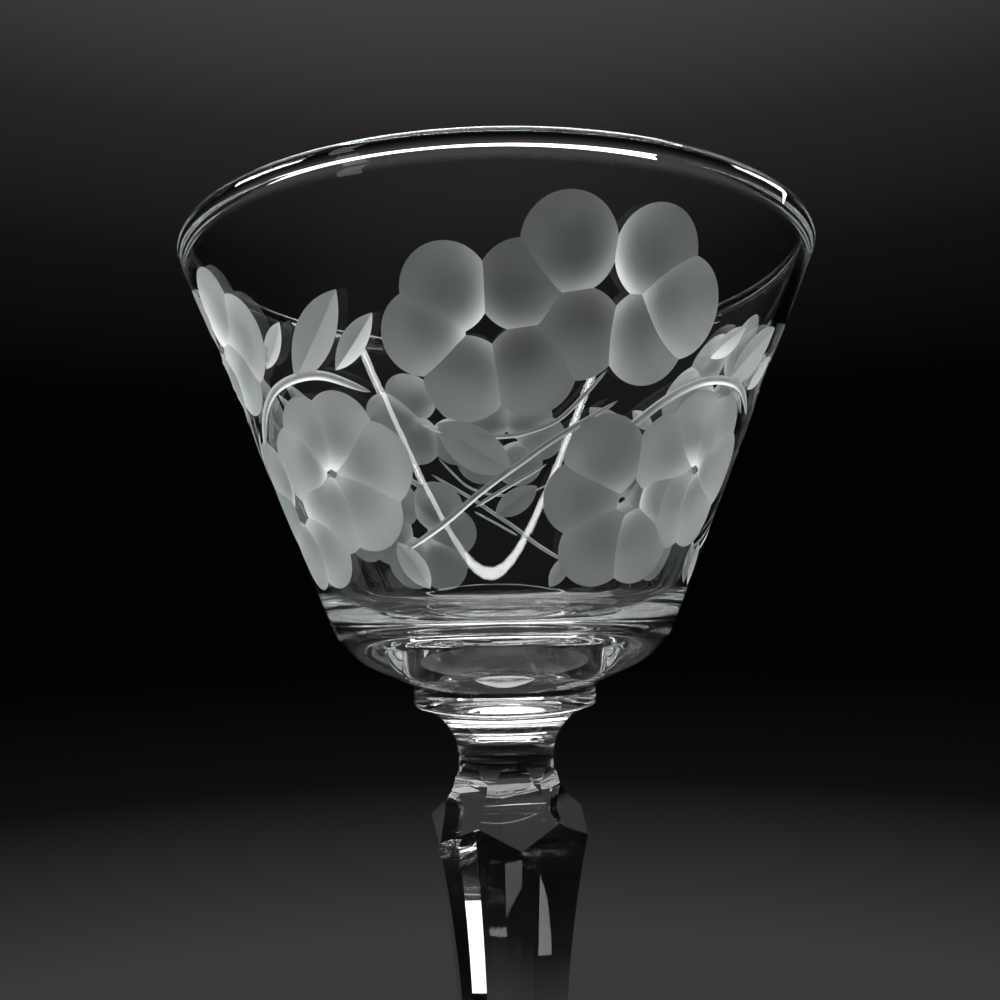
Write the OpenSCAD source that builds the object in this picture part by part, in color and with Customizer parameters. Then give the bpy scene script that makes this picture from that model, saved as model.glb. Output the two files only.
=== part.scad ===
// Stemmed cocktail glass: a straight-sided bowl on a round collar, a six-sided cut stem with a knop,
// and a round foot. The four pieces are fused end to end and meet at flat faces.
// Millimetres, +Z up, origin on the table at the middle of the foot.

/* [Overall] */
// Height from the table to the top of the rim
glass_h = 140; // [125:1:165]

/* [Bowl] */
// Outside diameter at the rim
rim_d = 80; // [74:1:92]
// Height from the bowl's seat on the collar to the top of the rim
bowl_h = 54; // [48:1:60]
// Lean of the wall from upright, in degrees
wall_lean = 22; // [18:0.5:24]
// Thickness of the wall
wall_t = 1.5; // [1.1:0.1:1.8]
// Thickness of the rounded bead at the rim
bead_d = 2; // [1.9:0.1:2.6]
// Radius of the hollow blend from the bead to the inside of the wall
bead_blend_r = 3; // [1:0.5:6]
// Outside radius of the corner between the wall and the underside
corner_r = 10; // [6:0.5:12]
// Slope of the underside, in degrees
underside_slope = 24; // [16:1:28]
// Thickness of the glass at the middle of the bottom
bottom_t = 4.5; // [3:0.5:7]
// Inside radius of the corner between the wall and the floor
floor_corner_r = 9; // [5:0.5:11]
// Slope of the inside floor, in degrees
floor_slope = 9; // [4:1:14]

/* [Collar] */
// Diameter of the collar's edge
collar_d = 23.2; // [20:0.2:27]
// Height of the collar from its seam with the stem to its seat under the bowl
collar_h = 7.8; // [7:0.1:9]
// Radius of the rounding under the collar's edge
collar_round_r = 0.6; // [0.2:0.1:0.9]
// Radius of the hollow flare between the neck and the collar
flare_r = 7; // [6:0.5:9]
// Height of the collar's seam above the narrowest place of the neck
neck_seam_h = 1.7; // [0.5:0.1:3]

/* [Stem] */
// Diameter of the round neck
neck_d = 12; // [9:0.5:14]
// Number of facets round the stem
facet_count = 6; // [5:1:8]
// Distance across the knop, from corner to corner
knop_d = 21.1; // [17:0.1:24]
// Height from the tips of the knop's facets to the narrowest place of the neck
knop_drop = 8.7; // [7:0.1:11]
// Distance between opposite facets where they start on the neck
neck_flat_d = 11.3; // [8:0.1:11.8]
// Radius of the wheel that hollows the facets of the neck
neck_wheel_r = 5; // [3:0.5:6]
// Lean of the knop's shoulder from upright, in degrees
shoulder_lean = 45; // [35:1:55]
// Distance between opposite facets at the narrowest place of the shaft
waist_flat_d = 12; // [9:0.1:14]
// Height of the narrowest place of the shaft above the table
waist_z = 36; // [30:1:44]
// Height above the table at which the long facets run out on the round ankle
facet_end_z = 17; // [15:0.5:22]

/* [Foot] */
// Diameter of the foot
foot_d = 68; // [58:1:80]
// Thickness of the foot at its edge
foot_edge_t = 2.6; // [2:0.1:4]
// Height at which the foot's upper slope would meet the ankle
foot_crown_h = 5.6; // [4.5:0.1:8]
// Radius of the hollow flare between the ankle and the foot
ankle_flare_r = 8; // [7:0.5:9]
// Height of the seam between stem and foot
foot_seam_z = 9; // [8:0.5:9.5]
// Radius of the rounding of the foot's edge, above and below
foot_round_r = 1.1; // [0.4:0.1:1.3]
// Width of the flat ring that the glass rests on
rest_ring_w = 7; // [3:0.5:12]
// Depth of the hollow under the foot
foot_hollow = 0.9; // [0.4:0.1:1.4]

/* [Hidden] */
clear_glass = [0.86, 0.9, 0.89, 0.5];
// Sides of a round surface and of the large cutting wheel, and steps along an arc of an outline
$fn = 96;
wheel_sides = 360;
arc_steps = 14;
// Overrun of the cuts past the surface that they cut
overrun = 1;

// Heights of the seams and of the neck and knop
seat_z = glass_h - bowl_h;
collar_seam_z = seat_z - collar_h;
neck_z = collar_seam_z - neck_seam_h;
tip_z = neck_z - knop_drop;

// Radii of the round places
rim_r = rim_d / 2;
bead_r = bead_d / 2;
collar_r = collar_d / 2;
neck_r = neck_d / 2;
knop_r = knop_d / 2;
foot_r = foot_d / 2;

// Points [radius, height] along an arc about a centre, from one angle to another
function arc(centre, r, from, to) =
    [for (i = [0:arc_steps]) let (a = from + (to - from) * i / arc_steps) centre + r * [cos(a), sin(a)]];

// Place where a line from p along u meets a line from q along v
function meet(p, u, q, v) = p + u * cross(q - p, v) / cross(u, v);

// Arc of radius r that rounds the corner at b, between straight lines from a and to c
function rounded(a, b, c, r) =
    let (u = (a - b) / norm(a - b),
         v = (c - b) / norm(c - b),
         half = acos(u * v) / 2,
         centre = b + (u + v) / norm(u + v) * r / sin(half),
         start = b + u * r / tan(half) - centre,
         turn = (180 - 2 * half) * (cross(start, b - centre) > 0 ? 1 : -1),
         from = atan2(start[1], start[0]))
    arc(centre, r, from, from + turn);

// Outline of the bowl
wall_up = [sin(wall_lean), cos(wall_lean)];
wall_out = [cos(wall_lean), -sin(wall_lean)];
bead_centre = [rim_r - bead_r, glass_h - bead_r];
wall_outside = bead_centre + wall_out * bead_r;
wall_inside = wall_outside - wall_out * wall_t;
seat_edge = [collar_r, seat_z];
floor_middle = [0, seat_z + bottom_t];
outside_corner = meet(wall_outside, wall_up, seat_edge, [cos(underside_slope), sin(underside_slope)]);
inside_corner = meet(wall_inside, wall_up, floor_middle, [cos(floor_slope), sin(floor_slope)]);
// The lower corner's rounding takes up no more than this share of the underside
corner_room_share = 0.9;
corner_turn = 90 - wall_lean - underside_slope;
corner_room_r = corner_room_share * norm(outside_corner - seat_edge) / tan(corner_turn / 2);
// The blend is a circle in the bowl's hollow that touches the bead and the inside of the wall
blend_out = bead_r - wall_t - bead_blend_r;
blend_down = sqrt(pow(bead_r + bead_blend_r, 2) - pow(blend_out, 2));
blend_centre = bead_centre + wall_out * blend_out - wall_up * blend_down;
blend_angle = atan2(blend_centre[1] - bead_centre[1], blend_centre[0] - bead_centre[0]);

function bowl_outline() = concat(
    [[0, seat_z], seat_edge],
    rounded(seat_edge, outside_corner, wall_outside, min(corner_r, corner_room_r)),
    arc(bead_centre, bead_r, -wall_lean, blend_angle + 360),
    arc(blend_centre, bead_blend_r, blend_angle + 180, -wall_lean),
    rounded(wall_inside, inside_corner, floor_middle, floor_corner_r),
    [floor_middle]);

// Outline of the collar and of the neck's half of its flare
flare_centre = [neck_r + flare_r, neck_z];
seam_angle = 180 - asin(neck_seam_h / flare_r);
flare_end_angle = acos((collar_r - collar_round_r - flare_centre[0]) / flare_r);
edge_low = flare_centre + flare_r * [cos(flare_end_angle), sin(flare_end_angle)];

function collar_outline() = concat(
    [[0, collar_seam_z]],
    arc(flare_centre, flare_r, seam_angle, flare_end_angle),
    rounded(edge_low, [collar_r, edge_low[1]], seat_edge, collar_round_r),
    [seat_edge, [0, seat_z]]);

// Cuts of the neck: a wheel's hollow, then a straight shoulder down to the knop's tips
neck_wheel_x = neck_flat_d / 2 + neck_wheel_r;
shoulder_x = neck_wheel_x - neck_wheel_r * cos(shoulder_lean);
shoulder_z = tip_z + (knop_r - shoulder_x) / tan(shoulder_lean);
neck_wheel_z = shoulder_z + neck_wheel_r * sin(shoulder_lean);

// Cuts of the shaft: one large wheel, which leaves the knop and the waist at their sizes
facet_angle = 360 / facet_count;
knop_flat_r = knop_r * cos(facet_angle / 2);
waist_flat_r = waist_flat_d / 2;
shaft_bulge = knop_flat_r - waist_flat_r;
shaft_wheel_r = (pow(tip_z - waist_z, 2) + pow(shaft_bulge, 2)) / (2 * shaft_bulge);
ankle_r = waist_flat_r + shaft_wheel_r - sqrt(pow(shaft_wheel_r, 2) - pow(waist_z - facet_end_z, 2));

// Outline of the uncut stem, and the flare that it shares with the foot
blank_r = knop_r + overrun;
foot_slope = atan((foot_crown_h - foot_edge_t) / (foot_r - ankle_r));
ankle_centre = [ankle_r + ankle_flare_r, foot_crown_h + ankle_flare_r * (1 - sin(foot_slope)) / cos(foot_slope)];
foot_seam_angle = 180 + asin((ankle_centre[1] - foot_seam_z) / ankle_flare_r);

function stem_outline() = concat(
    [[0, foot_seam_z]],
    arc(ankle_centre, ankle_flare_r, foot_seam_angle, 180),
    [[ankle_r, waist_z], [blank_r, tip_z], [blank_r, shoulder_z], [neck_r, neck_wheel_z]],
    arc(flare_centre, flare_r, 180, seam_angle),
    [[0, collar_seam_z]]);

// Outline of the foot
crown = [ankle_r, foot_crown_h];
edge_top = [foot_r, foot_edge_t];
edge_bottom = [foot_r, 0];
ring_in = [foot_r - foot_round_r - rest_ring_w, 0];
hollow_r = (pow(ring_in[0], 2) + pow(foot_hollow, 2)) / (2 * foot_hollow);
hollow_half = asin(ring_in[0] / hollow_r);

function foot_outline() = concat(
    [[0, foot_seam_z]],
    arc([0, foot_hollow - hollow_r], hollow_r, 90, 90 - hollow_half),
    rounded(ring_in, edge_bottom, edge_top, foot_round_r),
    rounded(edge_bottom, edge_top, crown, foot_round_r),
    arc(ankle_centre, ankle_flare_r, 270 - foot_slope, foot_seam_angle));

module turned(outline) {
    rotate_extrude()
        polygon(outline);
}

module bowl() {
    color(clear_glass)
        turned(bowl_outline());
}

module collar() {
    color(clear_glass)
        turned(collar_outline());
}

// Section of a neck cut, drawn as [distance from the axis, height]
module neck_cut_section() {
    reach = blank_r + overrun;
    polygon(concat(
        arc([neck_wheel_x, neck_wheel_z], neck_wheel_r, 90, 180 + shoulder_lean),
        [[reach, shoulder_z - (reach - shoulder_x) / tan(shoulder_lean)],
         [reach, neck_wheel_z + neck_wheel_r]]));
}

module neck_cut() {
    rotate([90, 0, 0])
        linear_extrude(height = 2 * blank_r + overrun, center = true)
            neck_cut_section();
}

module shaft_cut() {
    translate([waist_flat_r + shaft_wheel_r, 0, waist_z])
        rotate([90, 0, 0])
            cylinder(r = shaft_wheel_r, h = 2 * blank_r + overrun, center = true, $fn = wheel_sides);
}

// The knop's shoulder facets stand over the shaft's corners
module stem() {
    color(clear_glass)
        difference() {
            turned(stem_outline());
            for (i = [0:facet_count - 1]) {
                rotate(i * facet_angle)
                    shaft_cut();
                rotate((i + 1 / 2) * facet_angle)
                    neck_cut();
            }
        }
}

module foot() {
    color(clear_glass)
        turned(foot_outline());
}

bowl();
collar();
stem();
foot();
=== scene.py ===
"""Stemmed cocktail glass with wheel-cut flowers, built around its packed frame.

The bowl's wall is unrolled, cut with petals, leaves and stalks, and rolled up again, so that the cuts
are real hollows with crisp edges. Collar, stem and foot are fine meshes of polished glass.
"""

import math

import bpy
import numpy as np
from bpy.props import FloatProperty, FloatVectorProperty, IntProperty, PointerProperty
from mathutils import Matrix, Vector, kdtree
from mathutils.geometry import delaunay_2d_cdt


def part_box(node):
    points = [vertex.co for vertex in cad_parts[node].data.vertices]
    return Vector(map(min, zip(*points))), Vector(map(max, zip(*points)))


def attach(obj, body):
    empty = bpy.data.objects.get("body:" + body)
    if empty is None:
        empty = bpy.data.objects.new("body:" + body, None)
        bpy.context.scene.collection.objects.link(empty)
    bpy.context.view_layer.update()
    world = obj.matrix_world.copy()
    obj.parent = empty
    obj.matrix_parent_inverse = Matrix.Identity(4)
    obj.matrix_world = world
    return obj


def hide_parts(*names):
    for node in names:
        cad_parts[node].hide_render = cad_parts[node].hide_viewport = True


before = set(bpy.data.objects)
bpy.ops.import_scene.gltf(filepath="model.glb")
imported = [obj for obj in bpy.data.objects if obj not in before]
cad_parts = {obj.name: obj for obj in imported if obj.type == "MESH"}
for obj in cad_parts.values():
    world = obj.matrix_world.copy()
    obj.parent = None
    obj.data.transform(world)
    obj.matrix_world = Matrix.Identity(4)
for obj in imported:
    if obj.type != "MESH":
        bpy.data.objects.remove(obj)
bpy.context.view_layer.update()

bl_info = {
    "name": "Cut Cocktail Glass",
    "version": (1, 0, 0),
    "blender": (4, 5, 0),
    "location": "View3D > Sidebar > Glass",
    "description": "Builds a stemmed cocktail glass with wheel-cut flowers around its packed frame",
    "category": "Add Mesh",
}

MM = 0.001
BOWL_LOW, BOWL_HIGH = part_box("bowl")
COLLAR_LOW, COLLAR_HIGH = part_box("collar")
_, STEM_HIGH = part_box("stem")
FOOT_LOW, FOOT_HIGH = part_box("foot")
BODY = "root"

# Fineness of the meshes
ROUND_SIDES = 256
ARC_STEP = math.radians(9)
FACET_COLUMNS = 9
HOLLOW_STEPS = 10
# Points that lie closer than this are one
WELD_GAP = 0.0015 * MM
# A cut shallower than this is none, and a point closer than this to the wall's foot lies on it
LEAST_DEPTH = 0.001 * MM
WALL_FOOT_GAP = 0.01 * MM
# How far the uncut stem, and a search for a crossing, go past a surface
OVERRUN = 1.0 * MM
# Halvings in the search for a ridge between petals and for a crossing on the stem
RIDGE_TRIES = 40
CROSSING_TRIES = 60
TINY = 1e-9


def length(name, description, default):
    """A size that a user may change, in metres."""
    return FloatProperty(name=name, description=description, default=default,
                         min=0.0, unit="LENGTH", precision=5)


def angle(name, description, degrees):
    """A lean or a slope, given in degrees."""
    return FloatProperty(name=name, description=description, default=math.radians(degrees),
                         subtype="ANGLE")


def share(name, description, default):
    """A value between none and all."""
    return FloatProperty(name=name, description=description, default=default,
                         min=0.0, max=1.0, subtype="FACTOR")


def colour(name, description, default):
    """A linear colour."""
    return FloatVectorProperty(name=name, description=description, default=default,
                               min=0.0, max=1.0, subtype="COLOR")


class BowlSizes(bpy.types.PropertyGroup):
    """Sizes of the bowl."""
    rim_r: length("Rim radius", "Outside radius at the rim", (BOWL_HIGH.x - BOWL_LOW.x) / 2)
    rim_z: length("Rim height", "Height of the top of the rim", BOWL_HIGH.z)
    seat_z: length("Seat height", "Height of the bowl's seat on the collar", BOWL_LOW.z)
    wall_lean: angle("Wall lean", "Lean of the wall from upright", 22)
    wall_t: length("Wall thickness", "Thickness of the wall", 1.5 * MM)
    bead_r: length("Bead radius", "Radius of the rounded bead at the rim", 1.0 * MM)
    bead_blend_r: length("Bead blend", "Radius of the blend from the bead to the wall", 3.0 * MM)
    corner_r: length("Lower corner", "Outside radius between the wall and the underside", 10.0 * MM)
    underside_slope: angle("Underside slope", "Slope of the underside", 24)
    bottom_t: length("Bottom thickness", "Thickness of the glass at the middle of the bottom", 4.5 * MM)
    floor_corner_r: length("Floor corner", "Inside radius between the wall and the floor", 9.0 * MM)
    floor_slope: angle("Floor slope", "Slope of the inside floor", 9)


class CuttingSizes(bpy.types.PropertyGroup):
    """Sizes of the flowers, leaves and stalks that are cut in the wall."""
    spray_turn: angle("First spray", "Direction of the first spray, from the front to the right", -8.65)
    petal_depth: length("Petal depth", "Depth of a petal of the usual radius", 0.8 * MM)
    petal_r: length("Petal radius", "The usual radius of a petal", 5.0 * MM)
    leaf_depth: length("Leaf depth", "Depth of a leaf at its vein", 0.34 * MM)
    stalk_depth: length("Stalk depth", "Depth of a stalk's groove", 0.16 * MM)
    outline_step: length("Outline step", "Distance between points along the edge of a cut", 0.3 * MM)
    grid_step: length("Grid step", "Distance between points inside a cut", 0.75 * MM)


class StemSizes(bpy.types.PropertyGroup):
    """Sizes of the collar and of the stem."""
    collar_r: length("Collar radius", "Radius of the collar's edge", (COLLAR_HIGH.x - COLLAR_LOW.x) / 2)
    collar_round_r: length("Collar rounding", "Rounding under the collar's edge", 0.6 * MM)
    flare_r: length("Neck flare", "Radius of the hollow flare between the neck and the collar", 7.0 * MM)
    seam_z: length("Collar seam", "Height of the seam between the stem and the collar", STEM_HIGH.z)
    neck_seam_h: length("Neck to seam", "Height of that seam above the neck's narrowest place", 1.7 * MM)
    neck_r: length("Neck radius", "Radius of the round neck", 6.0 * MM)
    facet_count: IntProperty(name="Facets", description="Number of facets round the stem",
                             default=6, min=3)
    knop_r: length("Knop radius", "Distance of the knop's corners from the axis", STEM_HIGH.y)
    knop_drop: length("Knop drop", "Height from the knop's tips to the neck's narrowest place", 8.7 * MM)
    neck_flat_r: length("Neck facets", "Least distance of the neck's facets from the axis", 5.65 * MM)
    neck_wheel_r: length("Neck wheel", "Radius of the wheel that hollows the neck's facets", 5.0 * MM)
    shoulder_lean: angle("Shoulder lean", "Lean of the knop's shoulder from upright", 45)
    waist_flat_r: length("Waist facets", "Least distance of the shaft's facets from the axis", 6.0 * MM)
    waist_z: length("Waist height", "Height of the narrowest place of the shaft", 36.0 * MM)
    facet_end_z: length("Facet end", "Height at which the long facets run out on the ankle", 17.0 * MM)


class FootSizes(bpy.types.PropertyGroup):
    """Sizes of the foot."""
    foot_r: length("Foot radius", "Radius of the foot", (FOOT_HIGH.x - FOOT_LOW.x) / 2)
    seam_z: length("Foot seam", "Height of the seam between stem and foot", FOOT_HIGH.z)
    edge_t: length("Edge thickness", "Thickness of the foot at its edge", 2.6 * MM)
    crown_h: length("Crown height", "Height at which the upper slope would meet the ankle", 5.6 * MM)
    flare_r: length("Ankle flare", "Radius of the hollow flare between the ankle and the foot", 8.0 * MM)
    round_r: length("Edge rounding", "Rounding of the foot's edge, above and below", 1.1 * MM)
    ring_w: length("Rest ring", "Width of the flat ring that the glass rests on", 7.0 * MM)
    hollow: length("Hollow", "Depth of the hollow under the foot", 0.9 * MM)


class GlassFinish(bpy.types.PropertyGroup):
    """Colours and polish of the glass."""
    clear_tint: colour("Clear glass", "Tint of the polished glass", (0.965, 0.985, 0.978))
    cut_tint: colour("Cut glass", "Tint of the matt cuts", (0.50, 0.56, 0.535))
    # Painted highlight: the steep sides of the cuts are painted whiter than the gentle ones, standing in
    # for the light along the petals' edges.
    steep_highlight_tint: colour("Steep cuts", "Tint of the steep sides of cuts, ground whiter", (0.95, 1.0, 0.98))
    ior: FloatProperty(name="Index", description="Refractive index of the glass",
                       default=1.52, min=1.0)
    cut_clearness: share("Clearness of cuts", "Share of light through a gentle cut", 0.62)
    # The steep sides of the cuts are also made less clear, so that the painted highlight shows.
    steep_highlight_clearness: share("Clearness of steep cuts", "Share of light through a steep cut", 0.1)
    cut_roughness: share("Roughness of cuts", "Roughness of the ground surface", 0.42)


class StageSettings(bpy.types.PropertyGroup):
    """Camera, floor and light."""
    view_turn: angle("View direction", "Direction of the camera, from the front to the right", -8.65)
    distance: length("Distance", "Distance of the camera from the axis", 118.0 * MM)
    height: length("Camera height", "Height of the camera above the table", 100.25 * MM)
    sideways: FloatProperty(name="Sideways", description="Shift of the camera to its right",
                            default=-0.66 * MM, unit="LENGTH", precision=5)
    pitch: angle("Pitch", "Upward tilt of the camera", 4.41)
    yaw: angle("Yaw", "Turn of the camera to its right", 0.243)
    roll: angle("Roll", "Roll of the camera", -1.11)
    lens: FloatProperty(name="Lens", description="Focal length of the camera",
                        default=32.73, unit="CAMERA")
    sensor_w: FloatProperty(name="Sensor", description="Width of the camera's sensor",
                            default=36.0, unit="CAMERA")
    floor_r: length("Floor radius", "Radius of the round floor", 60.0 * MM)
    floor_colour: colour("Floor", "Colour of the floor", (0.47, 0.465, 0.455))
    background: FloatProperty(name="Background", description="Level of the plain dark background",
                              default=0.006, min=0.0)
    fill: FloatProperty(name="Fill", description="Level of the light from all round",
                        default=0.04, min=0.0)


GROUPS = {
    "glass_bowl": BowlSizes,
    "glass_cutting": CuttingSizes,
    "glass_stem": StemSizes,
    "glass_foot": FootSizes,
    "glass_finish": GlassFinish,
    "glass_stage": StageSettings,
}


# Outlines: runs of points [radius, height] with outward normals, anticlockwise round the solid

def line_run(start, end, steps=1):
    """Straight stretch of an outline."""
    start, end = np.array(start, float), np.array(end, float)
    along = (end - start) / np.linalg.norm(end - start)
    points = np.linspace(start, end, steps + 1)
    normals = np.tile([along[1], -along[0]], (steps + 1, 1))
    return points, normals


def arc_run(centre, radius, first, last):
    """Round stretch of an outline, which bulges if it runs anticlockwise and is hollow if not."""
    steps = max(2, math.ceil(abs(last - first) / ARC_STEP))
    angles = np.linspace(first, last, steps + 1)
    directions = np.stack([np.cos(angles), np.sin(angles)], 1)
    turn = 1 if last > first else -1
    return np.array(centre) + radius * directions, turn * directions


def corner_run(before, corner, after, radius):
    """Rounding of the corner between straight lines from before and to after."""
    before, corner, after = (np.array(p, float) for p in (before, corner, after))
    u = (before - corner) / np.linalg.norm(before - corner)
    v = (after - corner) / np.linalg.norm(after - corner)
    half = math.acos(u @ v) / 2
    centre = corner + (u + v) / np.linalg.norm(u + v) * radius / math.sin(half)
    start = corner + u * radius / math.tan(half) - centre
    to_corner = corner - centre
    turn = math.copysign(math.pi - 2 * half, start[0] * to_corner[1] - start[1] * to_corner[0])
    first = math.atan2(start[1], start[0])
    return arc_run(centre, radius, first, first + turn)


def meet(p, u, q, v):
    """Place where a line from p along u meets a line from q along v."""
    return p + u * cross(q - p, v) / cross(u, v)


def cross(u, v):
    """Twice the area of the triangle between two directions."""
    return u[0] * v[1] - u[1] * v[0]


def slope_of(turn):
    """Direction that rises outwards at this angle from level."""
    return np.array([math.cos(turn), math.sin(turn)])


# Meshes: sheets of faces are gathered, then welded into one closed mesh

class Sheets:
    """Faces of one piece, with a normal for each corner and a material for each face."""

    def __init__(self):
        self.points = []
        self.faces = []
        self.normals = []
        self.materials = []

    def add(self, points, faces, normals, material):
        """Adds faces of point numbers, each with as many normals as corners."""
        offset = len(self.points)
        self.points.extend(points)
        self.faces.extend([tuple(offset + i for i in face) for face in faces])
        self.normals.extend(normals)
        self.materials.extend(material if hasattr(material, "__len__") else [material] * len(faces))

    def add_rows(self, rows, row_normals, material):
        """Adds a grid of quads from rows of points, each row with its corners' normals."""
        width = len(rows[0])
        faces, normals = [], []
        flat = [n for row in row_normals for n in row]
        for i in range(len(rows) - 1):
            for j in range(width - 1):
                face = (i * width + j, i * width + j + 1, (i + 1) * width + j + 1, (i + 1) * width + j)
                faces.append(face)
                normals.append([flat[k] for k in face])
        self.add([p for row in rows for p in row], faces, normals, material)

    def add_turned(self, run, material, sides=ROUND_SIDES):
        """Adds a run of an outline, turned about the upright axis."""
        points, normals = run
        around = np.linspace(0, 2 * math.pi, sides + 1)
        out = np.stack([np.sin(around), -np.cos(around)], 1)
        rows = [turned_ring(out, p) for p in points]
        self.add_rows(rows, [turned_ring(out, n) for n in normals], material)

    def add_disc(self, radius, height, up, material, sides=ROUND_SIDES):
        """Adds a flat round face that looks up or down."""
        ends = ([radius, height], [0, height]) if up else ([0, height], [radius, height])
        self.add_turned(line_run(*ends), material, sides)

    def welded(self):
        """Points, faces, corner normals and materials with shared points and no empty face."""
        tree = kdtree.KDTree(len(self.points))
        for i, p in enumerate(self.points):
            tree.insert(p, i)
        tree.balance()
        owner = [min(hit[1] for hit in tree.find_range(p, WELD_GAP)) for p in self.points]
        number, points, faces, normals, materials = {}, [], [], [], []
        for face, corner_normals, material in zip(self.faces, self.normals, self.materials):
            kept = {}
            for i, n in zip(face, corner_normals):
                kept.setdefault(owner[i], n)
            if len(kept) < 3:
                continue
            for i in kept:
                if i not in number:
                    number[i] = len(points)
                    points.append(self.points[i])
            faces.append([number[i] for i in kept])
            normals.extend(kept.values())
            materials.append(material)
        return points, faces, normals, materials

    def make(self, name, node, materials):
        """Makes the piece, which stands for a node of the frame and rides on its body."""
        points, faces, normals, numbers = self.welded()
        if not closed(faces):
            raise RuntimeError(f"The mesh of {name} is not closed")
        mesh = bpy.data.meshes.new(name)
        mesh.from_pydata([tuple(p) for p in points], [], faces)
        for material in materials:
            mesh.materials.append(material)
        mesh.polygons.foreach_set("material_index", numbers)
        mesh.polygons.foreach_set("use_smooth", [True] * len(faces))
        mesh.normals_split_custom_set([tuple(n) for n in normals])
        mesh.update()
        piece = bpy.data.objects.new(name, mesh)
        bpy.context.scene.collection.objects.link(piece)
        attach(piece, BODY)
        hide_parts(node)
        return piece


def closed(faces):
    """Whether each edge is shared by two faces that run along it in opposite ways."""
    edges = [(face[i - 1], face[i]) for face in faces for i in range(len(face))]
    return len(set(edges)) == len(edges) and {(b, a) for a, b in edges} == set(edges)


def turned_ring(out, point):
    """Points or normals round the axis from one [radius, height]."""
    ring = np.column_stack([out * point[0], np.full(len(out), point[1])])
    return list(ring)


def unit(vectors):
    """Vectors of length one."""
    return vectors / np.linalg.norm(vectors, axis=-1, keepdims=True)


# Numbers of a piece's finishes
CLEAR, SEAM, CUT = 0, 1, 2


# The bowl's outline

class BowlOutline:
    """Places on the bowl's outline, worked out from its sizes."""

    def __init__(self, sizes):
        lean = sizes.wall_lean
        self.up = np.array([math.sin(lean), math.cos(lean)])
        self.out = np.array([math.cos(lean), -math.sin(lean)])
        self.bead = np.array([sizes.rim_r - sizes.bead_r, sizes.rim_z - sizes.bead_r])
        self.wall_outside = self.bead + self.out * sizes.bead_r
        wall_inside = self.wall_outside - self.out * sizes.wall_t
        seat_r = bpy.context.scene.glass_stem.collar_r
        self.seat_edge = np.array([seat_r, sizes.seat_z])
        middle = np.array([0.0, sizes.seat_z + sizes.bottom_t])
        underside = slope_of(sizes.underside_slope)
        outside_corner = meet(self.wall_outside, self.up, self.seat_edge, underside)
        inside_corner = meet(wall_inside, self.up, middle, slope_of(sizes.floor_slope))
        self.lower = corner_run(self.seat_edge, outside_corner, self.wall_outside, sizes.corner_r)
        self.floor = corner_run(wall_inside, inside_corner, middle, sizes.floor_corner_r)
        self.middle = middle
        self.wall_foot = self.lower[0][-1]
        blend_out = sizes.bead_r - sizes.wall_t - sizes.bead_blend_r
        blend_down = math.sqrt((sizes.bead_r + sizes.bead_blend_r) ** 2 - blend_out ** 2)
        blend = self.bead + self.out * blend_out - self.up * blend_down
        to_blend = math.atan2(blend[1] - self.bead[1], blend[0] - self.bead[0])
        self.bead_run = arc_run(self.bead, sizes.bead_r, -lean, to_blend + 2 * math.pi)
        self.blend_run = arc_run(blend, sizes.bead_blend_r, to_blend + math.pi, -lean)


# The unrolled wall: a flat fan about the cone's apex, with y towards the rim in the middle of a spray

class Petal:
    """A round dish, as a slanted wheel cuts it: it is deeper and steeper towards the flower's eye."""
    slant_share = 0.5

    def __init__(self, centre, radius, wheel_r, inward):
        self.centre, self.radius, self.wheel_r = centre, radius, wheel_r
        self.slant = self.slant_share / radius * inward

    def cut(self, points):
        """Depth and slope at points, with negative depth outside."""
        away = points - self.centre
        dish = (self.radius ** 2 - (away ** 2).sum(1)) / (2 * self.wheel_r)
        slanted = np.maximum(1 + away @ self.slant, 1 - self.slant_share)
        slope = -away / self.wheel_r * slanted[:, None] + dish[:, None] * self.slant
        return dish * slanted, slope

    def outlines(self, step):
        count = math.ceil(2 * math.pi * self.radius / step)
        around = np.linspace(0, 2 * math.pi, count + 1)
        return [self.centre + self.radius * np.stack([np.cos(around), np.sin(around)], 1)]

    def creases(self, others, step):
        """Ridges between this petal and those that it overlaps."""
        lines = []
        for other in others:
            across = other.centre - self.centre
            gap = np.linalg.norm(across)
            if gap >= self.radius + other.radius or gap <= abs(self.radius - other.radius):
                continue
            along = (gap ** 2 + self.radius ** 2 - other.radius ** 2) / (2 * gap)
            half = math.sqrt(self.radius ** 2 - along ** 2)
            sideways = np.linspace(-half, half, math.ceil(2 * half / step) + 1)
            low = gap - np.sqrt(other.radius ** 2 - sideways ** 2)
            high = np.sqrt(self.radius ** 2 - sideways ** 2)
            lines.append(self.ridge(other, across / gap, sideways, low, high))
        return lines

    def ridge(self, other, across, sideways, low, high):
        """Line on which this petal and another are equally deep, between the edges of the two."""
        side = np.array([-across[1], across[0]])
        for _ in range(RIDGE_TRIES):
            middle = (low + high) / 2
            points = self.centre + middle[:, None] * across + sideways[:, None] * side
            deeper = self.cut(points)[0] > other.cut(points)[0]
            low = np.where(deeper, middle, low)
            high = np.where(deeper, high, middle)
        return points


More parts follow.
